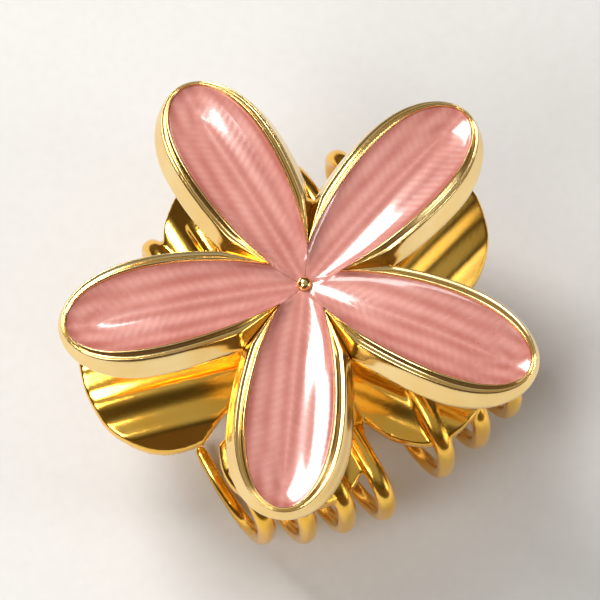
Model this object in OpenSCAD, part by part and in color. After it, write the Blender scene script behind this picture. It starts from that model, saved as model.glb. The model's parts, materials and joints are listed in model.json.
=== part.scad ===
// A flower hair clip: an enamelled five-petal flower over a two-jaw spring claw.
// +X runs along the hinge, +Y towards the back petal, +Z up, and z = 0 is the table it stands on.

/* [Flower] */
// Height of the enamel at the middle of the flower
flower_z = 30.5; // [30:0.1:31.5]
// Reach of the enamel from the middle of the flower to a petal's tip
enamel_reach = 26.6; // [26.2:0.1:27]
// Radius at which the rims of two neighbouring petals part
notch_radius = 4; // [3.8:0.1:4.2]
// How far the side of a petal swells beyond its neck
petal_swell = 11; // [10.4:0.1:11.4]
// How far a petal rises between its root and its middle
petal_rise = 1.6; // [1.2:0.1:2]
// How far the edge of the enamel stands above a petal's midline
petal_cup = 1; // [0.6:0.1:1.4]
// Depth of the enamel
enamel_t = 0.6; // [0.5:0.1:0.8]
// Width of the gold flank outside the enamel
flank_w = 2.4; // [2.2:0.1:2.6]
// How far the flank rolls down
flank_drop = 2.8; // [2.4:0.1:3]
// Share of the flank that is left at a petal's tip
tip_share = 0.4; // [0.35:0.05:0.5]
// Metal under the enamel
bed_t = 1; // [0.8:0.1:1.2]
// Radius of the post under the flower
post_r = 2.9; // [2.6:0.1:3]

/* [Rivet] */
// Radius of the rivet's shank
rivet_r = 0.6; // [0.5:0.05:0.65]
// Radius of the bead that shows in the middle of the flower
bead_r = 0.85; // [0.8:0.05:1]
// Radius of the formed head under the jaw's tongue
rivet_head_r = 1.5; // [1.3:0.1:1.7]
// Thickness of that head
rivet_head_t = 0.7; // [0.6:0.05:0.75]

/* [Lobes] */
// Height of the crown of the ridged lobes beside the hinge
crown_z = 20.6; // [20.4:0.1:20.8]
// How far the crown has fallen at the tip of a lobe
crown_fall = 2.2; // [1.8:0.1:2.6]
// How far the side of a lobe droops at 10 mm from its midline
side_droop = 4.3; // [3.8:0.1:4.8]
// Wall of a lobe
lobe_t = 1.5; // [1.3:0.1:1.7]
// Reach of the lobes at the ends of the hinge
side_reach = 25.8; // [25.4:0.1:26.2]
// Reach of the lobes that carry teeth
toothed_reach = 22; // [21.6:0.1:22.4]
// Height of the ridges cast along a lobe
ridge_h = 0.4; // [0.2:0.05:0.5]
// Spacing of the ridges
ridge_pitch = 4.2; // [3.8:0.1:4.6]
// Distance from the hinge at which the lobes begin
lobe_start = 7; // [6.8:0.1:7.2]

/* [Teeth] */
// Half-width of a tooth where it leaves its lobe
tooth_r = 1.15; // [1:0.05:1.2]
// Half-width of a tooth at its tip
tooth_tip_r = 0.75; // [0.65:0.05:0.8]
// Height at which the teeth bulge furthest out
bulge_z = 12; // [11.5:0.1:12.5]
// Distance of the lowest point of each tooth from the hinge plane
foot_y = 6.5; // [6:0.1:7]
// Distance that a tooth's tip stops short of the hinge plane
tip_gap = 1.2; // [1:0.1:1.5]

/* [Hinge] */
// Height of the hinge
hinge_z = 16; // [15.9:0.1:16.1]
// Radius of the hinge pin
pin_r = 1; // [0.9:0.05:1.05]
// Radius of the knuckles round the pin
knuckle_r = 2.2; // [2.1:0.05:2.3]
// Running clearance round the pin
pin_clear = 0.06; // [0.03:0.01:0.09]
// Radius of the spring's wire
wire_r = 0.4; // [0.35:0.05:0.45]
// Radius of the coil, to the middle of the wire
coil_r = 2.05; // [1.95:0.05:2.1]

/* [Hidden] */
$fn = 48;

gold = [0.91, 0.68, 0.27];
steel = [0.72, 0.72, 0.74];
pink = [0.84, 0.57, 0.53];

// Five petals above and five lobes below point the same ways
petal_step = 72;
half_sector = petal_step / 2;
back = 90;
tip_reach = enamel_reach + flank_w * tip_share;

// Each tooth: [place along the hinge, how far it bulges out from the hinge plane]
front_teeth = [
    [-15, 17], [-11, 19.4], [-6.6, 20.6], [-2, 21.6], [6.4, 20.6], [11.7, 19.6], [16.8, 18.2]
];
back_teeth = [[-14.6, 17.6], [-9.5, 18.8], [-4.5, 19.4], [2.2, 19.6], [9.1, 18.8], [14.4, 17.6]];

// Depth of a tooth as a share of its width
tooth_depth = 0.85;

// Knuckles: [inner end, outer end] along the hinge, the same on both sides
front_knuckle = [4.6, 7.6];
back_knuckle = [8.1, 10.7];
pin_end = 11;
pin_head = [1.5, 0.7];

// The tongue that carries the flower
tongue_w = 5.2;
tongue_t = 1.5;
tongue_top = 21.2;

// Spring: turns, lean of its legs, and how far they reach
coil_turns = 7;
coil_half = 3.6;
leg_lean = 21;
leg_reach = 9.5;

// Fineness of the curved grids
petal_steps = 10;
lobe_steps = 24;
lobe_rows = 6;
tooth_steps = 15;
turn_steps = 14;
tube_sides = 8;
hair = 0.02;
// Clearance of the enamel above its bed, which its curved facets need
bed_gap = 0.07;

// Radius of the hole that the petals leave for the rivet
hole_r = rivet_r + 0.12;

// The clip is moved so that the origin is under the middle of its outline, which runs from the tip
// of the back petal to the furthest point of the two front petals
front_reach = max([for (i = [0:petal_steps])
    let (t = i / petal_steps, p = outline(t) + flank_w * flank_share(t) * outline_normal(t))
    p.x * cos(half_sector) + p.y * sin(half_sector)]);
clip_y = (front_reach - tip_reach) / 2;

// Smooth step from 0 at a to 1 at b
function ease(x, a, b) = let (t = min(max((x - a) / (b - a), 0), 1)) t * t * (3 - 2 * t);

module clip_place() {
    translate([0, clip_y, 0]) children();
}

// Joins what is inside it into one closed skin
module cast() {
    resize([0, 0, 0]) union() children();
}

// ---- Closed solids from rings of points ----

// A tube through rings of points, capped at both ends
module tube(rings) {
    sides = len(rings[0]);
    last = (len(rings) - 1) * sides;
    polyhedron(
        points = [for (ring = rings) each ring],
        faces = concat(
            [for (i = [0:len(rings) - 2], j = [0:sides - 1])
                let (k = (j + 1) % sides, a = i * sides, b = a + sides)
                each [[a + j, a + k, b + k], [a + j, b + k, b + j]]],
            [[for (j = [sides - 1:-1:0]) j]],
            [[for (j = [0:sides - 1]) last + j]]
        ),
        convexity = 8
    );
}

// A curved plate between an upper and a lower grid with the same rows
module plate(upper, lower) {
    tube([
        for (i = [0:len(upper) - 1])
            concat(upper[i], [for (j = [len(lower[i]) - 1:-1:0]) lower[i][j]])
    ]);
}

// A wire or tooth along a path, given its half-widths [along the hinge, across it] at each point
module sweep(path, halves) {
    last = len(path) - 1;
    tube([
        for (i = [0:last])
            let (
                ahead = path[min(i + 1, last)] - path[max(i - 1, 0)],
                t = ahead / norm(ahead),
                side = [1, 0, 0] - t * t.x,
                u = side / norm(side),
                v = cross(u, t)
            )
            [for (j = [0:tube_sides - 1]) let (a = 360 * j / tube_sides)
                path[i] + u * halves[i][0] * cos(a) + v * halves[i][1] * sin(a)]
    ]);
}

// ---- Flower ----

// Outline of the enamel on one side of a petal, from the notch at t = 0 to the tip at t = 1
function outline(t) = let (
        neck = notch_radius * [cos(half_sector), sin(half_sector)],
        u = (1 - cos(180 * t)) / 2
    ) [
        neck.x + (enamel_reach - neck.x) * u,
        neck.y * pow(1 - u, 2) + petal_swell * pow(u, 0.95) * cos(90 * t)
    ];

// Outward normal of that outline, which at the notch runs out between the petals
function outline_normal(t) = let (
        step = 0.05,
        d = outline(min(t + step, 1)) - outline(max(t - step, 0))
    ) t == 1 ? [1, 0] : t == 0 ? [cos(half_sector), sin(half_sector)] : [-d.y, d.x] / norm(d);

// Point of the midline that faces the outline at t. It starts at the rivet's hole.
function midline(t) = hole_r + (0.83 * enamel_reach - hole_r) * pow((1 - cos(180 * t)) / 2, 1.5);

// Height of the enamel: a petal rises from its root and is cupped across
function enamel_height(along, s) =
    flower_z + 4 * petal_rise * (along / tip_reach) * (1 - 0.9 * along / tip_reach) + petal_cup * s * s;

// Share of the flank's full width, which the next petal limits near the notch and which thins at the tip
function flank_share(t) = let (p = outline(t))
    max(0.07, min(1, (p.x * sin(half_sector) - p.y * cos(half_sector)) / 2))
    * (1 - (1 - tip_share) * ease(t, 0.6, 1));

// A point of a petal, on one side of its midline. A row is [share of the way to the enamel's edge,
// distance past it, height from the enamel, further height where the flank is full].
function petal_point(t, side, row, gap) = let (
        edge = outline(t),
        out = outline_normal(t),
        share = flank_share(t),
        q = row[1] == 0 ? -row[0] * gap : row[1] * share,
        root = t == 0 ? hole_r * [cos(half_sector), sin(half_sector)] : [midline(t), 0],
        flat = root + (edge - root) * row[0] + out * q + (t == 0 ? gap : 0) * [sin(half_sector), -cos(half_sector)]
    ) [flat.x, side * flat.y, enamel_height(min(flat.x, enamel_reach), row[0]) + row[2] + row[3] * share];

// The skin of one petal or of all five: down one side of a petal to its tip and back up the other,
// with each row of points running from the midline over the edge and back underneath
module petals(turns, upper, lower, gap) {
    ts = [for (i = [0:petal_steps]) i / petal_steps];
    tip = len(ts) - 1;
    end = 2 * tip;
    rows = concat(upper, [for (i = [len(lower) - 1:-1:0]) lower[i]]);
    n = len(rows);
    whole = len(turns) > 1;
    id = function(k, j, i)
        whole && j == end ? ((k + 1) % len(turns)) * (end + 1) * n + i
        : (i % (n - 1) == 0 && j > tip && j < end) ? (k * (end + 1) + end - j) * n + i
        : (k * (end + 1) + j) * n + i;
    strip = function(k, j, i, next)
        [[id(k, j, i), id(k, j + 1, i), id(k, j + 1, next)], [id(k, j, i), id(k, j + 1, next), id(k, j, next)]];
    cap = function(j, i) let (a = id(0, j, i), b = id(0, j, i + 1), c = id(0, j, n - 2 - i), d = id(0, j, n - 1 - i))
        j == 0 ? [[a, b, c], [a, c, d]] : [[a, c, b], [a, d, c]];
    polyhedron(
        points = [
            for (k = [0:len(turns) - 1], j = [0:end])
                let (t = ts[tip - abs(tip - j)], turn = back + turns[k] * petal_step)
                for (row = rows)
                    let (p = petal_point(t, j < tip ? -1 : 1, row, gap))
                    [p.x * cos(turn) - p.y * sin(turn), p.x * sin(turn) + p.y * cos(turn), p.z]
        ],
        faces = concat(
            [for (k = [0:len(turns) - 1], j = [0:end - 1], i = [0:n - 2]) each strip(k, j, i, i + 1)],
            [for (k = [0:len(turns) - 1], j = [0, end - 1]) each strip(k, j, n - 1, 0)],
            whole ? [] : [for (j = [0, end], i = [0:n / 2 - 2]) each cap(j, i)]
        ),
        convexity = 10
    );
}

// Rows of the bed, which the enamel's two faces share so that their facets run side by side
bed_shares = [0, 0.4, 0.75, 1];

// Rows of the casting's upper face: the enamel's bed, the rim, and the flank that rolls down
casting_upper = [
    for (share = bed_shares) [share, 0, -enamel_t, 0], [1, 0, 0.1, 0],
    [1, 0.35, 0.4, 0], [1, 0.9, 0.15, 0], [1, 0.7 * flank_w, 0.1, -0.45 * flank_drop],
    [1, flank_w, 0, -flank_drop]
];

// Rows of its lower face
under = -enamel_t - bed_t;
casting_lower = [
    [0, 0, under, 0], [0.4, 0, under, 0], [0.75, 0, under, 0], [0.9, 0, under, 0], [1, 0, under, -0.1],
    [1, 0.5, under, -0.2], [1, 1, under, -0.5], [1, 0.65 * flank_w, under, -1],
    [1, 0.9 * flank_w, under, -flank_drop - 0.5 - under]
];

module flower_casting() {
    post_h = flower_z + under - tongue_top + 0.3;
    color(gold) clip_place() cast() union() {
        petals([0, 1, 2, 3, 4], casting_upper, casting_lower, 0);
        difference() {
            translate([0, 0, tongue_top]) cylinder(r = post_r, h = post_h);
            translate([0, 0, tongue_top - 1]) cylinder(r = rivet_r + hair, h = 12, $fn = 24);
        }
    }
}

// The enamel in one petal, which stops a hair short of its bed, its rim and its neighbours
module enamel(turn) {
    upper = [for (share = bed_shares) [share, 0, 0, 0]];
    lower = [for (share = bed_shares) [share, 0, bed_gap - enamel_t, 0]];
    color(pink) clip_place() petals([turn], upper, lower, hair);
}

// A rivet from the bead, which sits on the enamel, down through the flower's post and the jaw's tongue
module centre_rivet() {
    foot = tongue_top - tongue_t;
    seat = flower_z + 4 * petal_rise * bead_r / tip_reach + hair;
    color(gold) clip_place() {
        translate([0, 0, foot]) cylinder(r = rivet_r, h = seat + bead_r / 2 - foot);
        translate([0, 0, foot - rivet_head_t]) cylinder(r = rivet_head_r, h = rivet_head_t);
        translate([0, 0, seat]) intersection() {
            sphere(r = bead_r);
            translate([0, 0, bead_r]) cube(2 * bead_r, center = true);
        }
    }
}

// ---- Jaws ----

// Height of the lower flower's lobes, ridged along their length
function lobe_z(along, across) =
    crown_z - crown_fall * pow(along / side_reach, 3) - side_droop * pow(across / 10, 2)
    + ridge_h * cos(360 * across / ridge_pitch) * ease(along, 5, 9);

// Height of the lobes at a place over the table
function lobe_z_at(x, y) = let (
        turn = atan2(y, x) - back,
        off = turn - petal_step * round(turn / petal_step),
        r = norm([x, y])
    ) lobe_z(r * cos(off), r * sin(off));

// One lobe, which runs from near the hinge out to its scalloped edge
module lobe(reach, notch) {
    start = 5;
    rims = [for (i = [0:lobe_steps]) let (a = (1 - 2 * i / lobe_steps) * (half_sector + 0.3))
        [a, reach * (1 - notch * pow(abs(a) / half_sector, 2.7))]];
    face = function(lift) [for (rim = rims) [for (j = [0:lobe_rows])
        let (
            r = start + (rim[1] - start) * j / lobe_rows,
            along = r * cos(rim[0]),
            across = r * sin(rim[0])
        ) [along, across, lobe_z(along, across) + lift]]];
    plate(face(0), face(-lobe_t));
}

// A tooth: a ridge at its root, a shoulder, the bulge, and a long curve down and in to its tip
module tooth(x, bulge, side) {
    swing = bulge - foot_y;
    fullness = 0.6;
    root_y = 0.62 * bulge;
    root_a = -acos(pow((root_y - foot_y) / swing, 1 / fullness));
    tip_a = acos((tip_gap - foot_y) / swing);
    rise = (lobe_z_at(x, side * root_y) - 0.2 - bulge_z) / pow(sin(-root_a), fullness);
    fall = bulge_z - tooth_depth * tooth_tip_r - 2 * hair;
    shares = [for (i = [0:tooth_steps]) i / tooth_steps];
    path = [for (s = shares) let (a = root_a + (tip_a - root_a) * s)
        [x, side * (foot_y + swing * (a < 0 ? pow(cos(a), fullness) : cos(a))),
            bulge_z + (a < 0 ? rise * pow(sin(-a), fullness) : -fall * sin(a))]];
    halves = [for (s = shares) let (w = tooth_r + (tooth_tip_r - tooth_r) * ease(s, 0.2, 1))
        [w, tooth_depth * w] * (s == 0 || s == 1 ? 0.6 : 1)];
    sweep(path, halves);
}

module knuckles(span) {
    for (side = [-1, 1])
        translate([side > 0 ? span[0] : -span[1], 0, hinge_z])
            rotate([0, 90, 0]) cylinder(r = knuckle_r, h = span[1] - span[0]);
}

module hinge_bore(clear) {
    translate([-20, 0, hinge_z]) rotate([0, 90, 0]) cylinder(r = pin_r + clear, h = 40);
}

// The back jaw: three lobes, its teeth, two lugs for the pin and the tongue that carries the flower
module jaw_back() {
    lug_h = crown_z - lobe_t - hinge_z + 0.3;
    color(gold) clip_place() difference() {
        union() {
            cast() {
                difference() {
                    union() {
                        rotate(back) lobe(toothed_reach, 0.3);
                        for (side = [-1, 1]) rotate(back + side * petal_step) lobe(side_reach, 0.33);
                    }
                    translate([-back_knuckle[0], -lobe_start, 0])
                        cube([2 * back_knuckle[0], 2 * lobe_start, 30]);
                }
                translate([-tongue_w / 2, 0, tongue_top - tongue_t]) cube([tongue_w, lobe_start + 2, tongue_t]);
                translate([0, 0, tongue_top - tongue_t]) cylinder(r = post_r, h = tongue_t);
                for (tooth = back_teeth) tooth(tooth[0], tooth[1], 1);
            }
            knuckles(back_knuckle);
            for (side = [-1, 1])
                translate([side > 0 ? back_knuckle[0] : -back_knuckle[1], -1.6, hinge_z])
                    cube([back_knuckle[1] - back_knuckle[0], 3.2, lug_h]);
        }
        hinge_bore(hair);
        translate([0, 0, hinge_z + knuckle_r]) cylinder(r = rivet_r + hair, h = 6);
    }
}

// The front jaw: two lobes that are pressed to open the clip, its teeth, and two arms to the pin
module jaw_front() {
    arm_run = lobe_start + 1.6;
    arm_rise = 3.5;
    arm_l = norm([arm_run, arm_rise]);
    color(gold) clip_place() difference() {
        union() {
            cast() {
                difference() {
                    for (side = [-1, 1]) rotate(-back + side * half_sector) lobe(toothed_reach, 0.42);
                    translate([-30, -lobe_start, 0]) cube([60, 30, 30]);
                }
                for (tooth = front_teeth) tooth(tooth[0], tooth[1], -1);
                for (side = [-1, 1])
                    translate([side > 0 ? front_knuckle[0] : -front_knuckle[1], 0, hinge_z])
                        rotate([-atan(arm_rise / arm_run), 0, 0])
                            translate([0, -arm_l, -1])
                                cube([front_knuckle[1] - front_knuckle[0], arm_l, 2.1]);
            }
            knuckles(front_knuckle);
        }
        hinge_bore(pin_clear);
    }
}

// ---- Hinge ----

// A steel pin through all four knuckles, with a head at each end
module hinge_pin() {
    color(steel) clip_place() translate([-pin_end, 0, hinge_z]) rotate([0, 90, 0]) {
        cylinder(r = pin_r, h = 2 * pin_end);
        for (end = [-pin_head[1], 2 * pin_end])
            translate([0, 0, end]) cylinder(r = pin_head[0], h = pin_head[1]);
    }
}

// A torsion spring round the pin. Its back leg bears on the back jaw and its front leg on the front jaw.
module torsion_spring() {
    first = 90 + leg_lean - 2;
    last = 90 - leg_lean + 2 + 360 * coil_turns;
    steps = coil_turns * turn_steps;
    leg = function(a, side) let (start = coil_r * cos(a), run = leg_reach - side * start)
        [side * leg_reach, hinge_z + coil_r * sin(a) + run * tan(leg_lean)];
    coil = [for (i = [0:steps]) let (a = first + (last - first) * i / steps)
        [coil_half * (1 - 2 * i / steps), coil_r * cos(a), hinge_z + coil_r * sin(a)]];
    path = concat(
        [concat([coil_half], leg(first, 1))],
        coil,
        [concat([-coil_half], leg(last, -1))]
    );
    color(steel) clip_place() sweep(path, [for (p = path) [wire_r, wire_r]]);
}

jaw_back();
jaw_front();
hinge_pin();
torsion_spring();
flower_casting();
centre_rivet();
enamel(0);  // enamel_back
enamel(1);  // enamel_back_left
enamel(2);  // enamel_front_left
enamel(3);  // enamel_front_right
enamel(4);  // enamel_back_right
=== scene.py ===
"""A flower hair clip: an enamelled five-petal flower riveted over a two-jaw spring claw, plated gold."""

import json

import bmesh
import bpy
import numpy as np
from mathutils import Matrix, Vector


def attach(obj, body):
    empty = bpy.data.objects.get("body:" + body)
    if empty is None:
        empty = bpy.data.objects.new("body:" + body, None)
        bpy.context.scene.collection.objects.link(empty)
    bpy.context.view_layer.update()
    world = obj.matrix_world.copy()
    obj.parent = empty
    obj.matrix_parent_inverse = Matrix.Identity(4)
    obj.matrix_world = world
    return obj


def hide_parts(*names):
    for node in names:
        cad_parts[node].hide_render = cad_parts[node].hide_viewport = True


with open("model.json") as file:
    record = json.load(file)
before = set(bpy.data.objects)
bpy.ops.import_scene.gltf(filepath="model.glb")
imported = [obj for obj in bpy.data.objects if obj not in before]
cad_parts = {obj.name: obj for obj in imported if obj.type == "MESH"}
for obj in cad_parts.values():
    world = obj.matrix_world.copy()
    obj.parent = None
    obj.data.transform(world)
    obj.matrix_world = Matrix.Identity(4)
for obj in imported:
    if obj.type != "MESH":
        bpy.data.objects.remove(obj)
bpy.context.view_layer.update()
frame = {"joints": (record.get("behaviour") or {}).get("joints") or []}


# ---- The flower's casting ----
# One zinc casting, plated and polished: five dished petals with a raised crest round each bed and a
# flank that rolls outwards and down. Its post stands on the back jaw's tongue, where the rivet holds it.

TO_METRES = 0.001
# The hinge's place in the frame: everything below is worked out in mm from a point under the hinge
hinge_spot = np.array(frame["joints"][0]["pos_m"]) / TO_METRES
flower_z = 30.5
enamel_reach = 26.6
notch_radius = 4.0
petal_swell = 11.0
petal_rise = 1.6
petal_cup = 1.0
flank_w = 2.4
tip_share = 0.4
tip_reach = enamel_reach + flank_w * tip_share
hole_r = 0.72
half_sector = np.radians(36)
# How many columns run down one side of a petal, and how many of them border the rivet's hole
side_columns = 60
hole_columns = 6


def ease(x, a, b):
    """A smooth step, three t squared less two t cubed, from 0 at a to 1 at b."""
    t = np.clip((x - a) / (b - a), 0, 1)
    return t * t * (3 - 2 * t)


def outline(t):
    """Edge of the enamel, from the notch at t = 0 to the tip at t = 1 and on past it. It runs evenly
    out along the petal, and its width is a swell that a quarter cosine closes at the tip."""
    u = (1 - np.cos(np.pi * t)) / 2
    neck = notch_radius * np.cos(half_sector), notch_radius * np.sin(half_sector)
    along = neck[0] + (enamel_reach - neck[0]) * u
    across = neck[1] * (1 - u) ** 2 + petal_swell * u**0.95 * np.cos(np.pi / 2 * t)
    return np.stack([along, across], -1)


def outline_normal(t):
    """Outward direction of that edge: a chord across it, turned a quarter, which swings round to
    run out between the petals at the notch."""
    chord = outline(t + 0.05) - outline(np.maximum(t - 0.05, 0))
    out = np.stack([-chord[..., 1], chord[..., 0]], -1)
    out /= np.linalg.norm(out, axis=-1, keepdims=True)
    swing = ease(t, 0, 0.1)[..., None]
    out = out * swing + np.array([np.cos(half_sector), np.sin(half_sector)]) * (1 - swing)
    return out / np.linalg.norm(out, axis=-1, keepdims=True)


def flank_share(t):
    """Share of the flank's width that the next petal leaves free, half the distance to it, which
    thins at the petal's tip."""
    along, across = np.moveaxis(outline(t), -1, 0)
    free = np.clip((along * np.sin(half_sector) - across * np.cos(half_sector)) / 2, 0.07, 1)
    return free * (1 - (1 - tip_share) * ease(t, 0.6, 1))


def petal_root(t):
    """Where each column starts: round the rivet's hole from the notch, then out along the midline."""
    u = (1 - np.cos(np.pi * t)) / 2
    radius = hole_r + (0.83 * enamel_reach - hole_r) * u**1.5
    angle = half_sector * (1 - ease(t, 0, hole_columns / side_columns))
    return np.stack([radius * np.cos(angle), radius * np.sin(angle)], -1)


def enamel_height(along, share):
    """A petal rises from its root to the middle and dips to its tip, and is cupped across."""
    reach = along / tip_reach
    return flower_z + 4 * petal_rise * reach * (1 - 0.9 * reach) + petal_cup * share**2


def smooth_profile(knots, count):
    """A curve through the knots, each stretch a cubic whose ends lean along their neighbours."""
    knots = np.array(knots, float)
    padded = np.vstack([2 * knots[0] - knots[1], knots, 2 * knots[-1] - knots[-2]])
    at = np.linspace(0, len(knots) - 1 - 1e-9, count)
    i = at.astype(int)
    t = (at - i)[:, None]
    a, b, c, d = (padded[i + k] for k in range(4))
    lean = b * 2 + (c - a) * t + (2 * a - 5 * b + 4 * c - d) * t**2 + (3 * (b - c) + d - a) * t**3
    return lean / 2


def petal_points(profile, turn, gap=0.0):
    """Points of one petal, as columns of profile rows down one side, round the tip and back. A row is
    its share of the way to the enamel's edge, its distance past it, its height from the enamel, and
    further height where the flank is full."""
    half = np.linspace(0, 1, side_columns + 1)
    t = np.concatenate([half, half[-2::-1]])[:, None]
    side = np.where(np.arange(len(t)) < side_columns, -1, 1)[:, None]
    share, past, lift, drop = profile.T[:, None, :]
    edge, out, root = outline(t), outline_normal(t), petal_root(t)
    free = flank_share(t)
    beyond = np.where(past == 0, -share * gap, past * free)[..., None]
    flat = root + (edge - root) * share[..., None] + out * beyond
    corner = (1 - ease(t, 0, hole_columns / side_columns))[..., None] * gap
    beside = np.array([np.sin(half_sector), -np.cos(half_sector)])
    flat = flat + corner * beside
    # Every column but the first stays a hair's breadth on its own side of the plane between petals
    clear = 0.02 * ease(t, 0, 2 / side_columns)
    flat = flat + np.maximum(clear - flat @ beside, 0)[..., None] * beside
    along, across = flat[..., 0], flat[..., 1] * side
    height = enamel_height(np.minimum(along, enamel_reach), share) + lift + drop * free
    c, s = np.cos(turn), np.sin(turn)
    return np.stack([along * c - across * s, along * s + across * c, height], -1)


def grid_faces(columns, rows):
    """Quads between neighbouring columns and rows of a grid numbered column by column."""
    c, r = np.meshgrid(np.arange(columns - 1), np.arange(rows - 1), indexing="ij")
    a = (c * rows + r).ravel()
    return np.stack([a, a + rows, a + rows + 1, a + 1], 1)


def hole_wall(columns, rows):
    """The wall of the rivet's hole: quads from the last row to the first of each column that borders it."""
    j = np.r_[0:hole_columns, columns - 1 - hole_columns:columns - 1]
    return np.stack([j * rows + rows - 1, (j + 1) * rows + rows - 1, (j + 1) * rows, j * rows], 1)


def mesh_piece(name, shells, merge=0.0005, readings=()):
    """A closed mesh in the frame from shells of points in mm and faces. Points closer than merge
    become one, and faces are turned outwards. readings are values that its points carry."""
    counts = np.cumsum([0] + [len(points) for points, faces in shells])
    faces = [face for (_, some), first in zip(shells, counts) for face in (some + first).tolist()]
    points = np.vstack([points for points, _ in shells]) + [hinge_spot[0], hinge_spot[1], 0]
    mesh = bpy.data.meshes.new(name)
    mesh.from_pydata((points * TO_METRES).tolist(), [], faces)
    for label, values in readings:
        mesh.attributes.new(label, "FLOAT", "POINT").data.foreach_set("value", values.ravel())
    work = bmesh.new()
    work.from_mesh(mesh)
    bmesh.ops.remove_doubles(work, verts=work.verts, dist=merge * TO_METRES)
    no_length = 1e-8
    bmesh.ops.dissolve_degenerate(work, edges=work.edges, dist=no_length)
    bmesh.ops.recalc_face_normals(work, faces=work.faces)
    work.to_mesh(mesh)
    work.free()
    mesh.shade_smooth()
    piece = bpy.data.objects.new(name, mesh)
    bpy.context.scene.collection.objects.link(piece)
    return piece


def tube(rings):
    """A closed shell through rings of points, each ring with an even count, its ends filled by strips."""
    rings = np.asarray(rings, float)
    n, m, _ = rings.shape
    i, j = np.meshgrid(np.arange(n - 1), np.arange(m), indexing="ij")
    k = (j + 1) % m
    side = np.stack([i * m + j, (i + 1) * m + j, (i + 1) * m + k, i * m + k], -1).reshape(-1, 4)
    j = np.arange(m // 2 - 1)
    cap = np.stack([j, j + 1, m - 2 - j, m - 1 - j], 1)
    return rings.reshape(-1, 3), np.vstack([side, cap[:, ::-1], cap + (n - 1) * m])


class Reading:
    """The value of a shader socket. Sums, products and powers of readings add their Math nodes."""

    def __init__(self, finish, socket):
        self.finish, self.socket = finish, socket

    def _math(self, operation, *values):
        return self.finish.node("Math", {"operation": operation}, dict(enumerate(values)))

    def __add__(self, other):
        return self._math("ADD", self, other)

    def __sub__(self, other):
        return self._math("SUBTRACT", self, other)

    def __rsub__(self, other):
        return self._math("SUBTRACT", other, self)

    def __mul__(self, other):
        return self._math("MULTIPLY", self, other)

    def __pow__(self, other):
        return self._math("POWER", self, other)

    __radd__ = __add__
    __rmul__ = __mul__

    def sine(self):
        return self._math("SINE", self)


class Finish:
    """A material, or the world. node() adds a shader node: its type, its settings, then values or
    readings for its sockets, and gives back a reading of the output asked for."""

    def __init__(self, name, library="materials"):
        self.block = getattr(bpy.data, library).new(name)
        self.block.use_nodes = True
        self.tree = self.block.node_tree
        self.tree.nodes.clear()

    def node(self, kind, settings, sockets, out=0):
        made = self.tree.nodes.new("ShaderNode" + kind)
        for name, value in settings.items():
            setattr(made, name, value)
        for name, value in sockets.items():
            if isinstance(value, Reading):
                self.tree.links.new(value.socket, made.inputs[name])
            else:
                made.inputs[name].default_value = value
        return Reading(self, made.outputs[out])

    def blend(self, factor, first, second):
        """A colour that goes from the first to the second as factor goes from 0 to 1."""
        sockets = {0: factor, 6: first, 7: second}
        return self.node("Mix", {"data_type": "RGBA", "clamp_factor": True}, sockets, 2)

    def place(self):
        """Where a point is on the piece, in metres."""
        return self.node("TexCoord", {}, {}, "Object")

    def surface(self, **sockets):
        """Ends the material with a Principled surface."""
        named = {name.replace("_", " "): value for name, value in sockets.items()}
        self.close(self.node("BsdfPrincipled", {}, named), "OutputMaterial")

    def close(self, shader, kind):
        """Joins the last shader to an output node of that kind."""
        end = self.tree.nodes.new("ShaderNode" + kind)
        self.tree.links.new(shader.socket, end.inputs["Surface"])


def gold_plate(name, polish, bright, deep):
    """Polished gold plate over a casting: a faint orange-peel under the polish, warmer and a little
    duller where the buffing wheel reached less. polish is its lowest roughness, and the plate goes
    from bright to deep."""
    finish = Finish(name)
    place = finish.place()
    cloud = finish.node("TexNoise", {}, {"Vector": place, "Scale": 160.0, "Detail": 3.0})
    peel = finish.node("TexNoise", {}, {"Vector": place, "Scale": 420.0, "Detail": 2.0})
    rubbed = finish.node("TexNoise", {}, {"Vector": place, "Scale": 2600.0, "Detail": 2.0})
    tint = finish.blend((cloud - 0.35) * 2.2, bright, deep)
    grain = peel + rubbed * 0.12
    bump = finish.node("Bump", {}, {"Height": grain, "Strength": 0.22, "Distance": 0.00012})
    finish.surface(
        Base_Color=tint,
        Metallic=1.0,
        Roughness=polish + cloud * 0.1 + rubbed * 0.04,
        Normal=bump,
    )
    return finish.block


def dress(piece, material, body, slot, *nodes):
    """Gives a finished piece its material and body, and hides the CAD nodes that it stands for. slot is not
    used.
    """
    piece.data.materials.clear()
    piece.data.materials.append(material)
    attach(piece, body)
    if nodes:
        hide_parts(*nodes)


gold = gold_plate("gold_plate", 0.08, (1.0, 0.76, 0.36, 1), (0.95, 0.62, 0.20, 1))

# The profile goes over the bed, up the wall to the crest, down the rolled flank, and back underneath
bed = [(0, 0, -0.6, 0), (0.5, 0, -0.6, 0), (0.9, 0, -0.6, 0), (1, 0, -0.6, 0), (1, 0, 0.05, 0)]
crest = [(1, 0.1, 0.28, 0), (1, 0.28, 0.38, 0), (1, 0.48, 0.24, -0.04), (1, 0.72, 0.12, -0.18),
         (1, 0.94, 0.12, -0.16)]
flank = [(1, 1.16, 0.14, -0.08), (1, 1.44, 0.1, -0.55), (1, 1.78, 0.06, -1.45), (1, 2.1, 0, -2.2)]
edge = [(1, 2.23, 0, -2.72), (1, 2.19, -0.1, -3.0), (1, 2.04, -0.6, -2.7)]
underside = [(1, 1.8, -1.3, -1.35), (1, 1.2, -2.1, 0), (1, 0.5, -1.8, 0), (0.95, 0, -1.7, 0), (0, 0, -1.6, 0)]
over = smooth_profile(bed[-1:] + crest + flank + edge + underside[:3], 56)
flower_profile = np.vstack([bed[:-1], over, underside[3:]])
flower_shells = []
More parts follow.
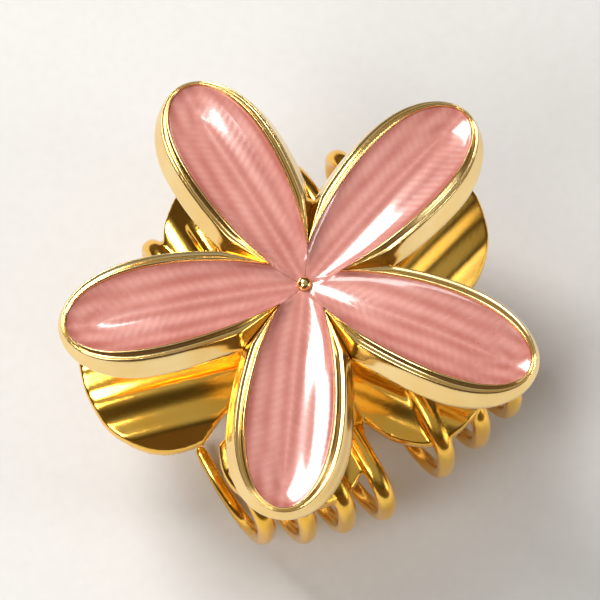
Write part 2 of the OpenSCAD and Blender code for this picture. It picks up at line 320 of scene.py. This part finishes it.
for step in range(5):
    points = petal_points(flower_profile, np.radians(90 + 72 * step))
    columns, rows = points.shape[:2]
    faces = np.vstack([grid_faces(columns, rows), hole_wall(columns, rows)])
    flower_shells.append((points.reshape(-1, 3), faces))


def turned(profile, sides=48):
    """A shell turned about the upright axis through the flower, from (radius, height) in mm. The ends
    are closed by rings that shrink to a hair's breadth."""
    angle = np.linspace(0, 2 * np.pi, sides, endpoint=False)
    profile = np.array(profile, float)
    radius, height = profile[:, :1], profile[:, 1:]
    points = np.stack([radius * np.cos(angle), radius * np.sin(angle), height + 0 * angle], -1)
    return tube(points)


post = [(0.62, 28.9), (0.62, 21.2), (2.72, 21.2), (2.86, 21.26), (2.9, 21.4), (2.9, 27.6),
        (3.1, 28.5), (3.6, 29.1), (0.62, 29.1)]
flower = mesh_piece("flower_casting_gold", flower_shells)
dress(flower, gold, "back_half", "gold_plate", "flower_casting")
flower_post = mesh_piece("flower_post", [turned(post)])
dress(flower_post, gold, "back_half", "gold_plate")


# ---- The enamel ----
# Five pools of glossy translucent enamel, poured into the dished petals and fired, one to a petal.
# The bed under each is cast with veins that run out to the tip and fine chevrons between them.

enamel_knots = [(0, 0, 0, 0), (0.25, 0, -0.02, 0), (0.5, 0, -0.035, 0), (0.75, 0, -0.03, 0),
                (0.9, 0, 0, 0), (0.98, 0, 0.05, 0), (1, 0, 0.03, 0)]
enamel_top = smooth_profile(enamel_knots, 34)
enamel_top[:, 1] = 0
enamel_foot = -0.53
vein_pitch = 1.9


def enamel_petal(name, step):
    """One pool of enamel. Its points carry the share of the way to the rim, and the distances along
    the petal and aside from its midline in mm, so that the cast bed's pattern follows the petal."""
    turn = np.radians(90 + 72 * step)
    half = len(enamel_top)
    bottom = enamel_top[::-1].copy()
    bottom[:, 2] = enamel_foot
    profile = np.vstack([enamel_top, bottom])
    points = petal_points(profile, turn, 0.02)
    columns, rows = points.shape[:2]
    along = points[..., 0] * np.cos(turn) + points[..., 1] * np.sin(turn)
    aside = np.abs(points[..., 1] * np.cos(turn) - points[..., 0] * np.sin(turn))
    share = profile[None, :, 0] + 0 * along
    # Shallow hollows between the veins, which fade out at the rim and round the rivet
    relief = 0.02 * np.cos(2 * np.pi * aside / vein_pitch) * ease(along, 3, 9)
    relief = relief * ease(1 - share, 0.03, 0.3) * ease(enamel_reach - along, 0.5, 5)
    points[..., 2] += np.where(np.arange(rows)[None, :] < half, relief, 0)
    i = np.arange(half - 1)
    end = np.stack([i, i + 1, rows - 2 - i, rows - 1 - i], 1)
    faces = [grid_faces(columns, rows), hole_wall(columns, rows), end, end[:, ::-1] + (columns - 1) * rows]
    readings = [("share", share), ("along", along), ("aside", aside)]
    return mesh_piece(name, [(points.reshape(-1, 3), np.vstack(faces))], readings=readings)


def enamel_finish(name, light, deep):
    """Translucent pink over a cast bed: paler over the veins, faintly rippled between them, deeper
    where the pool is deeper towards the rim, under a clear fired gloss."""
    finish = Finish(name)
    share, along, aside = (
        finish.node("Attribute", {"attribute_name": label}, {}, "Fac")
        for label in ("share", "along", "aside")
    )
    place = finish.place()
    drift = finish.node("TexNoise", {}, {"Vector": place, "Scale": 170.0, "Detail": 4.0})
    wander = finish.node("TexNoise", {}, {"Vector": place, "Scale": 900.0, "Detail": 2.0})
    around = 2 * np.pi
    veins = (aside * (around / vein_pitch) + drift * 1.6 + 1.57).sine() * 0.5 + 0.5
    nested = (share * (around * 2.5) + drift * 2.5 + 1.57).sine() * 0.5 + 0.5
    ripples = (along * (around / 0.95) - aside * (around / 1.6) + drift * 7.0).sine() * 0.5 + 0.5
    cast = veins * 0.36 + nested * 0.24 + ripples * (veins * 0.10 + 0.03)
    depth = cast * 0.8 + drift * 0.9 + wander * 0.16 - (share ** 3.0) * 0.16 - 0.42
    tint = finish.blend(depth, deep, light)
    relief = veins * 0.3 + ripples * 0.16 + wander * 0.3
    bump = finish.node("Bump", {}, {"Height": relief, "Strength": 0.25, "Distance": 0.00014})
    finish.surface(
        Base_Color=tint,
        Roughness=0.2 + wander * 0.12,
        Normal=bump,
        Coat_Weight=1.0,
        Coat_Roughness=0.09,
        Coat_IOR=1.5,
        Specular_IOR_Level=0.5,
    )
    return finish.block


light_pink, deep_pink = (0.76, 0.37, 0.32, 1), (0.45, 0.14, 0.11, 1)
enamel = enamel_finish("pink_enamel", light_pink, deep_pink)
petal_names = ["back", "back_left", "front_left", "front_right", "back_right"]
for step, where in enumerate(petal_names):
    petal = enamel_petal("pink_petal_" + where, step)
    dress(petal, enamel, "back_half", "pink_enamel", "enamel_" + where)


# ---- The rivet ----
# A gold-plated rivet through the flower's post and the jaw's tongue. Its domed end shows as the bead in
# the middle of the flower, and its other end is formed over underneath.

bead_r = 0.85
# The bead clears the enamel, which has risen that much by the bead's own edge, by a hair's breadth
seat = flower_z + 4 * petal_rise * bead_r / tip_reach + 0.02
dome = np.linspace(np.pi / 2 - 0.012, 0, 12)
bead = [(bead_r * np.cos(a), seat + bead_r * np.sin(a)) for a in dome]
shank = [(0.8, seat - 0.04), (0.58, seat - 0.04), (0.58, 19.7)]
clench = [(1.4, 19.7), (1.48, 19.64), (1.5, 19.5), (1.44, 19.22), (1.2, 19.06), (0.7, 19.0),
          (0.01, 19.0)]
rivet = mesh_piece("rivet_bead", [turned(bead + shank + clench)])
dress(rivet, gold, "back_half", "gold_plate", "centre_rivet")


# ---- The back jaw ----
# A casting in one piece: three ridged lobes, six curved teeth, two lugs that carry the hinge pin, and the
# tongue that the flower is riveted to. Its joins are filleted by the mould and softened by polishing.

crown_z, crown_fall, side_droop, lobe_t = 20.6, 2.2, 4.3, 1.5
ridge_h, ridge_pitch, lobe_start = 0.28, 4.2, 7.0
hinge_z, knuckle_r = 16.0, 2.2
foot_y, bulge_z, tip_gap = 6.5, 12.0, 1.2
tooth_r, tooth_tip_r, tooth_depth = 1.15, 0.75, 0.85


def lobe_z(along, across):
    """Height of a lobe: it falls with the cube of the way out, droops with the square of the way
    across, and carries cosine ridges along its length."""
    ridges = ridge_h * np.cos(2 * np.pi * across / ridge_pitch) * ease(along, 5, 9)
    return crown_z - crown_fall * (along / 25.8) ** 3 - side_droop * (across / 10) ** 2 + ridges


def lobe(direction, reach, notch, start_at):
    """A curved plate over one sector, from the cut near the hinge out to its scalloped edge."""
    # Neighbouring lobes lap over by a third of a degree, so that they fuse
    half_lobe, lap = 36, 0.3
    a = np.linspace(-half_lobe - lap, half_lobe + lap, 181)
    rim = reach * (1 - notch * (np.abs(a) / half_lobe) ** 2.7)
    held = np.flatnonzero(rim - start_at(np.radians(a + direction)) > 0.25)
    a = np.linspace(a[held[0]], a[held[-1]], 121)
    rim = reach * (1 - notch * (np.abs(a) / half_lobe) ** 2.7)
    start = start_at(np.radians(a + direction))
    r = start[:, None] + (rim - start)[:, None] * np.linspace(0, 1, 61)
    along, across = r * np.cos(np.radians(a))[:, None], r * np.sin(np.radians(a))[:, None]
    height = lobe_z(along, across)
    d = np.radians(direction)
    x, y = along * np.cos(d) - across * np.sin(d), along * np.sin(d) + across * np.cos(d)
    upper = np.stack([x, y, height], -1)
    lower = np.stack([x, y, height - lobe_t], -1)[:, ::-1]
    return tube(np.concatenate([upper, lower], 1))


def sweep(path, halves, sides=16):
    """A closed shell round a path, with half-widths along the hinge and across it at each point."""
    ahead = np.gradient(path, axis=0)
    ahead /= np.linalg.norm(ahead, axis=1, keepdims=True)
    side = np.array([1.0, 0, 0]) - ahead * ahead[:, :1]
    side /= np.linalg.norm(side, axis=1, keepdims=True)
    over = np.cross(side, ahead)
    angle = np.linspace(0, 2 * np.pi, sides, endpoint=False)[None, :, None]
    return tube(
        path[:, None] + side[:, None] * halves[:, :1, None] * np.cos(angle)
        + over[:, None] * halves[:, 1:, None] * np.sin(angle)
    )


def tooth(x, bulge, side):
    """A tooth: from its root it swings out over a full shoulder to the bulge, then follows a quarter
    ellipse down to the table and in to its tip, narrowing all the way."""
    swing, fullness = bulge - foot_y, 0.6
    root_y = 0.62 * bulge
    root_a = -np.arccos(((root_y - foot_y) / swing) ** (1 / fullness))
    tip_a = np.arccos((tip_gap - foot_y) / swing)
    heading = np.arctan2(side * root_y, x) - np.pi / 2
    off = heading - np.radians(72) * np.round(heading / np.radians(72))
    radius = np.hypot(x, root_y)
    top = lobe_z(radius * np.cos(off), radius * np.sin(off)) - 0.2
    rise = (top - bulge_z) / np.sin(-root_a) ** fullness
    fall = bulge_z - tooth_depth * tooth_tip_r - 0.04
    s = np.linspace(0, 1, 61)
    a = root_a + (tip_a - root_a) * s
    upper = a < 0
    y = foot_y + swing * np.where(upper, np.abs(np.cos(a)) ** fullness, np.cos(a))
    z = bulge_z + np.where(upper, rise * np.abs(np.sin(a)) ** fullness, -fall * np.sin(a))
    width = tooth_r + (tooth_tip_r - tooth_r) * ease(s, 0.2, 1)
    width = width * np.sqrt(np.clip(1 - ((s - 0.97) / 0.03).clip(0, 1) ** 2, 0.12, 1))
    path = np.stack([np.full_like(s, x), side * y, z], -1)
    return sweep(path, np.stack([width, tooth_depth * width], -1))


def along_hinge(inner, outer, radius):
    """A round bar on the hinge's line, its ends eased off."""
    soft = 0.15
    x = np.array([inner, inner + soft, outer - soft, outer])
    r = np.array([radius - soft, radius, radius, radius - soft])
    angle = np.linspace(0, 2 * np.pi, 48, endpoint=False)
    return tube(np.stack([
        x[:, None] + 0 * angle, r[:, None] * np.cos(angle), hinge_z + r[:, None] * np.sin(angle)
    ], -1))


def bar(low, high, lean=0.0):
    """A straight bar between two corners, leaning about the hinge's line."""
    (x0, y0, z0), (x1, y1, z1) = low, high
    ring = np.array([[y0, z0], [y1, z0], [y1, z1], [y0, z1]])
    c, s = np.cos(lean), np.sin(lean)
    y, z = ring[:, 0] * c - ring[:, 1] * s, ring[:, 0] * s + ring[:, 1] * c + hinge_z
    return tube([[(x, yy, zz) for yy, zz in zip(y, z)] for x in (x0, x1)])


def cast_piece(name, shells, bore_r):
    """Fuses shells into one casting with fine cubes, softens its joins, and bores it for the pin."""
    piece = mesh_piece(name, shells)
    fuse = piece.modifiers.new("fuse", "REMESH")
    fuse.mode, fuse.voxel_size, fuse.use_smooth_shade = "VOXEL", 0.22 * TO_METRES, True
    soften = piece.modifiers.new("soften", "SMOOTH")
    soften.factor, soften.iterations = 0.5, 4
    tool = mesh_piece("bore_tool", [along_hinge(-20, 20, bore_r)])
    bore = piece.modifiers.new("bore", "BOOLEAN")
    bore.operation, bore.solver, bore.object = "DIFFERENCE", "MANIFOLD", tool
    graph = bpy.context.evaluated_depsgraph_get()
    made = bpy.data.meshes.new_from_object(piece.evaluated_get(graph))
    piece.modifiers.clear()
    piece.data = made
    bpy.data.objects.remove(tool)
    made.shade_smooth()
    return piece


back_knuckle = 8.1, 10.7


def clear_of_back_knuckles(angle):
    """Distance from the hinge at which the back lobes begin: outside a box round the knuckles."""
    return np.maximum(5, np.minimum(back_knuckle[0] / np.maximum(np.abs(np.cos(angle)), 1e-6),
                                    lobe_start / np.maximum(np.abs(np.sin(angle)), 1e-6)))


back_teeth = [(-14.6, 17.6), (-9.5, 18.8), (-4.5, 19.4), (2.2, 19.6), (9.1, 18.8), (14.4, 17.6)]
tongue_top, tongue_t = 21.2, 1.5
shells = [lobe(90, 22, 0.3, clear_of_back_knuckles)]
shells += [lobe(90 + side * 72, 25.8, 0.33, clear_of_back_knuckles) for side in (-1, 1)]
shells += [tooth(x, bulge, 1) for x, bulge in back_teeth]
for side in (-1, 1):
    inner, outer = sorted(side * x for x in back_knuckle)
    shells.append(along_hinge(inner, outer, knuckle_r))
    shells.append(bar((inner, -1.6, 0), (outer, 1.6, crown_z - lobe_t - hinge_z + 0.4)))
shells.append(bar((-2.6, 0, tongue_top - tongue_t - hinge_z), (2.6, 9, tongue_top - hinge_z)))
tongue_end = [(0.01, tongue_top - tongue_t), (2.9, tongue_top - tongue_t), (2.9, tongue_top),
              (0.01, tongue_top)]
shells.append(turned(tongue_end))
# The jaws wear the same gold plate as the flower, coloured a deeper, more saturated orange: painted bounce
# light, standing in for the gold-on-gold interreflection between the lobes and the flower over them
jaw_gold_painted_bounce = gold_plate("jaw_plate_painted_bounce", 0.11, (1.0, 0.62, 0.12, 1), (0.97, 0.49, 0.05, 1))
tight_bore = 1.02
back_jaw = cast_piece("back_jaw", shells, tight_bore)
dress(back_jaw, jaw_gold_painted_bounce, "back_half", "gold_plate", "jaw_back")


# ---- The front jaw ----
# The other casting: the two lobes that the thumb presses, seven curved teeth, and two arms that reach in
# to their own knuckles between the back jaw's lugs. It turns on the pin.


def clear_of_hinge(angle):
    """Distance from the hinge at which the front lobes begin: a straight line across them."""
    return lobe_start / np.maximum(np.abs(np.sin(angle)), 1e-6)


front_teeth = [(-15, 17), (-11, 19.4), (-6.6, 20.6), (-2, 21.6), (6.4, 20.6), (11.7, 19.6),
               (16.8, 18.2)]
front_knuckle = 4.6, 7.6
arm_run, arm_rise = lobe_start + 1.6, 3.5
shells = [lobe(-90 + side * 36, 22, 0.42, clear_of_hinge) for side in (-1, 1)]
shells += [tooth(x, bulge, -1) for x, bulge in front_teeth]
for side in (-1, 1):
    inner, outer = sorted(side * x for x in front_knuckle)
    shells.append(along_hinge(inner, outer, knuckle_r))
    arm_l, arm_lean = np.hypot(arm_run, arm_rise), np.arctan2(arm_rise, arm_run)
    shells.append(bar((inner, -arm_l, -1), (outer, 0, 1.1), -arm_lean))
free_bore = 1.06
front_jaw = cast_piece("front_jaw", shells, free_bore)
dress(front_jaw, jaw_gold_painted_bounce, "front_half", "gold_plate", "jaw_front")


# ---- The hinge pin ----
# Steel pin stock through all four knuckles, with a domed head formed at each end.


def steel(name, grain):
    """Drawn steel: fine lines round the bar, a faint grey drift and a satin gloss."""
    finish = Finish(name)
    place = finish.place()
    drift = finish.node("TexNoise", {}, {"Vector": place, "Scale": 500.0, "Detail": 3.0})
    lines = finish.node("TexNoise", {}, {"Vector": place, "Scale": grain, "Detail": 2.0})
    tint = finish.blend(drift, (0.62, 0.61, 0.59, 1), (0.40, 0.39, 0.38, 1))
    bump = finish.node("Bump", {}, {"Height": lines, "Strength": 0.2, "Distance": 0.00004})
    finish.surface(Base_Color=tint, Metallic=1.0, Roughness=0.2 + lines * 0.15, Normal=bump)
    return finish.block


pin_steel = steel("pin_steel", 3000.0)
pin_x = np.array([-11.7, -11.66, -11.5, -11.2, -11.0, -10.98, 10.98, 11.0, 11.2, 11.5, 11.66, 11.7])
pin_r = np.array([0.02, 0.8, 1.3, 1.5, 1.48, 1.0, 1.0, 1.48, 1.5, 1.3, 0.8, 0.02])
round_pin = np.linspace(0, 2 * np.pi, 48, endpoint=False)
pin_rings = np.stack([
    pin_x[:, None] + 0 * round_pin,
    pin_r[:, None] * np.cos(round_pin),
    hinge_z + pin_r[:, None] * np.sin(round_pin),
], -1)
pin = mesh_piece("pin_of_the_hinge", [tube(pin_rings)])
dress(pin, pin_steel, "back_half", "spring_steel", "hinge_pin")


# ---- The torsion spring ----
# Seven turns of drawn spring wire round the pin. One leg bears on the back jaw and the other on the front
# jaw, so the front leg swings with that jaw while the coil stays with the back one.

coil_r, wire_r, coil_turns, coil_half = 2.05, 0.4, 7, 3.6
# How far the legs lean up, and how far each end of the coil runs on into its leg, in degrees
lean, tuck = 21, 2
leg_lean, leg_reach = np.radians(lean), 9.5
first_turn = np.radians(90 + lean - tuck)
last_turn = np.radians(90 - lean + tuck + 360 * coil_turns)


def coil_point(angle, x):
    """A point on the coil: a circle about the pin at that place along it."""
    return np.stack([x + 0 * angle, coil_r * np.cos(angle), hinge_z + coil_r * np.sin(angle)], -1)


def leg_end(angle, side):
    """The far end of a leg, which leaves the coil and leans up on its way out."""
    start = coil_r * np.cos(angle)
    run = leg_reach - side * start
    height = hinge_z + coil_r * np.sin(angle) + run * np.tan(leg_lean)
    return np.array([side * coil_half, side * leg_reach, height])


def leg_path(angle, side):
    """A straight run of points from the coil to the leg's far end."""
    near = coil_point(np.array(angle), side * coil_half)
    return near + (leg_end(angle, side) - near) * np.linspace(0, 1, 14)[:, None]


def coil_arc(start, stop, count):
    """A stretch of the coil, whose turns step along the pin at an even pitch."""
    angle = np.linspace(start, stop, count)
    done = (angle - first_turn) / (last_turn - first_turn)
    return coil_point(angle, coil_half * (1 - 2 * done))


# The leg's own arc lies in the last turn at rest, and slides back along the wire as the jaw opens
slide = np.radians(29)
coil_path = np.vstack([
    leg_path(first_turn, 1)[:0:-1], coil_arc(first_turn, last_turn - slide, coil_turns * 40)
])
wire = steel("spring_wire", 2200.0)
coil = mesh_piece("spring_coil", [sweep(coil_path, np.full((len(coil_path), 2), wire_r), 12)])
dress(coil, wire, "back_half", "spring_steel", "torsion_spring")
front_leg_path = np.vstack([coil_arc(last_turn - slide, last_turn, 8)[:-1], leg_path(last_turn, -1)])
front_leg_shell = sweep(front_leg_path, np.full((len(front_leg_path), 2), wire_r), 12)
front_leg = mesh_piece("spring_front_leg", [front_leg_shell])
dress(front_leg, wire, "front_half", "spring_steel")


# ---- The table and the light ----
# A pale matt table, one large soft light from the upper left, a weak one from the right, and a room that
# is bright overhead and dim at the sides for the gold to reflect, with a pale backdrop behind the clip.

floor_mesh = bpy.data.meshes.new("table_top")
half_floor = 0.35
corners = [(-half_floor, -half_floor, 0), (half_floor, -half_floor, 0), (half_floor, half_floor, 0),
           (-half_floor, half_floor, 0)]
floor_mesh.from_pydata(corners, [], [(0, 1, 2, 3)])
floor = bpy.data.objects.new("table_top", floor_mesh)
bpy.context.scene.collection.objects.link(floor)
floor_finish = Finish("pale_table")
speck = floor_finish.node("TexNoise", {}, {"Vector": floor_finish.place(), "Scale": 700.0, "Detail": 3.0})
floor_finish.surface(
    Base_Color=floor_finish.blend(speck, (0.66, 0.655, 0.645, 1), (0.61, 0.605, 0.595, 1)), Roughness=0.7
)
floor_mesh.materials.append(floor_finish.block)

studio = Finish("studio", "worlds")
bpy.context.scene.world = studio.block
heading = studio.node("SeparateXYZ", {}, {0: studio.node("TexCoord", {}, {}, "Generated")}, "Z")
shade = studio.node("ValToRGB", {}, {0: heading})
stops = [(0.0, (0.10, 0.08, 0.06)), (0.5, (0.10, 0.075, 0.05)), (0.62, (0.30, 0.27, 0.23)),
         (0.8, (0.85, 0.84, 0.82)), (1.0, (0.95, 0.95, 0.95))]
band = shade.socket.node.color_ramp
while len(band.elements) < len(stops):
    band.elements.new(0.5)
for element, (position, colour) in zip(band.elements, stops):
    element.position, element.color = position, (*colour, 1)
reflected = studio.node("Background", {}, {"Color": shade, "Strength": 0.42})
behind = studio.node("Background", {}, {"Color": (0.86, 0.86, 0.85, 1), "Strength": 1.0})
looked_at = studio.node("LightPath", {}, {}, "Is Camera Ray")
studio.close(studio.node("MixShader", {}, {0: looked_at, 1: reflected, 2: behind}), "OutputWorld")
bpy.context.scene.view_settings.view_transform = "Standard"


def soft_light(name, where, size, power, tint=(1, 1, 1)):
    """A square soft box that faces the clip, at that place in metres."""
    data = bpy.data.lights.new(name, "AREA")
    data.energy, data.size, data.color = power, size, tint
    lamp = bpy.data.objects.new(name, data)
    lamp.location = where
    lamp.rotation_euler = (Vector((0, 0, 0.02)) - Vector(where)).to_track_quat("-Z", "Y").to_euler()
    bpy.context.scene.collection.objects.link(lamp)


soft_light("key", (-0.10, 0.43, 0.50), 0.30, 4.6, (1.0, 0.98, 0.95))
soft_light("fill", (-0.40, -0.10, 0.42), 0.26, 1.6, (1.0, 0.99, 0.97))
soft_light("low_strip", (0.30, -0.34, 0.12), 0.14, 1.0)

# A dark band stands round the clip, out of the camera's sight, for the polished gold to reflect
sides = 96
round_band = np.linspace(0, 2 * np.pi, sides, endpoint=False)
low_edge, high_edge, band_r = 0.002, 0.07, 0.13
band_points = np.concatenate([
    np.stack([band_r * np.cos(round_band), band_r * np.sin(round_band), height + 0 * round_band], -1)
    for height in (low_edge, high_edge)
])
here = np.arange(sides)
ahead = (here + 1) % sides
band_mesh = bpy.data.meshes.new("dark_band")
band_faces = np.stack([here, ahead, ahead + sides, here + sides], 1)
band_mesh.from_pydata(band_points.tolist(), [], band_faces.tolist())
dark_band = bpy.data.objects.new("dark_band", band_mesh)
bpy.context.scene.collection.objects.link(dark_band)
dark_band.visible_camera = dark_band.visible_shadow = dark_band.visible_diffuse = False
band_finish = Finish("dark_card")
band_finish.surface(Base_Color=(0.10, 0.06, 0.03, 1), Roughness=0.9)
band_mesh.materials.append(band_finish.block)

azimuth, elevation, distance, frame_width = np.radians(-30.6), np.radians(68), 0.42, 0.067
aim = Vector((0.0, -0.0012, 0.024))
level = np.cos(elevation)
back_off = Vector((np.sin(azimuth) * level, -np.cos(azimuth) * level, np.sin(elevation)))
camera_data = bpy.data.cameras.new("camera")
camera_data.sensor_width = 36
camera_data.lens = camera_data.sensor_width * distance / frame_width
camera_data.clip_start, camera_data.clip_end = 0.01, 20
camera = bpy.data.objects.new("camera", camera_data)
camera.location = aim + back_off * distance
camera.rotation_euler = (-back_off).to_track_quat("-Z", "Y").to_euler()
bpy.context.scene.collection.objects.link(camera)
bpy.context.scene.camera = camera
